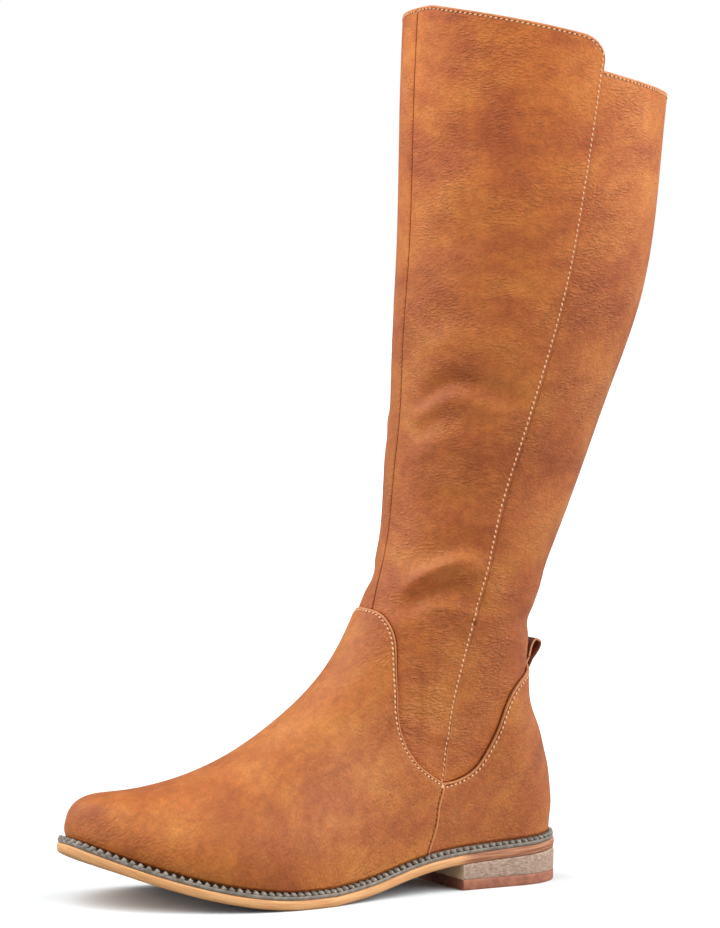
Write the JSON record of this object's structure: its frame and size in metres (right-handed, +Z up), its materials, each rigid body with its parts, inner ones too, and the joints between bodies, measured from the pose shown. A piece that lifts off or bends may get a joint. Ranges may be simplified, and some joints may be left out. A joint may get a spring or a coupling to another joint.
{
  "type": "knee-high riding boot",
  "caption": "Left knee-high pull-on boot of tan leather on a low stacked heel: hollow shaft and foot, vamp, counter, ribbed welt, sole and insole.",
  "frame": {"origin": "on the floor under the middle of the boot's box", "axes": "+X from heel to toe, +Y to the outer side of a left foot, +Z up the shaft"},
  "size_m": [0.3036, 0.1158, 0.415],
  "materials": {
    "tan_leather": "semi-matt mottled tan leather with a fine pebbled grain",
    "dark_leather": "dark brown strap leather with light cut edges",
    "grey_welt": "matt grey-brown moulded welt with ribs",
    "insole_lining": "matt woven sock lining",
    "sole_rubber": "satin light tan sole edge, matt tread",
    "stacked_heel": "stacked heel with fine grey-beige layers",
    "top_lift_rubber": "matt reddish-brown rubber"
  },
  "bodies": {
    "root": {"upper": "tan_leather", "vamp": "tan_leather", "counter": "tan_leather", "pull_loop": "dark_leather", "welt": "grey_welt", "insole": "insole_lining", "outsole": "sole_rubber", "heel_block": "stacked_heel", "top_lift": "top_lift_rubber"}
  },
  "joints": []
}
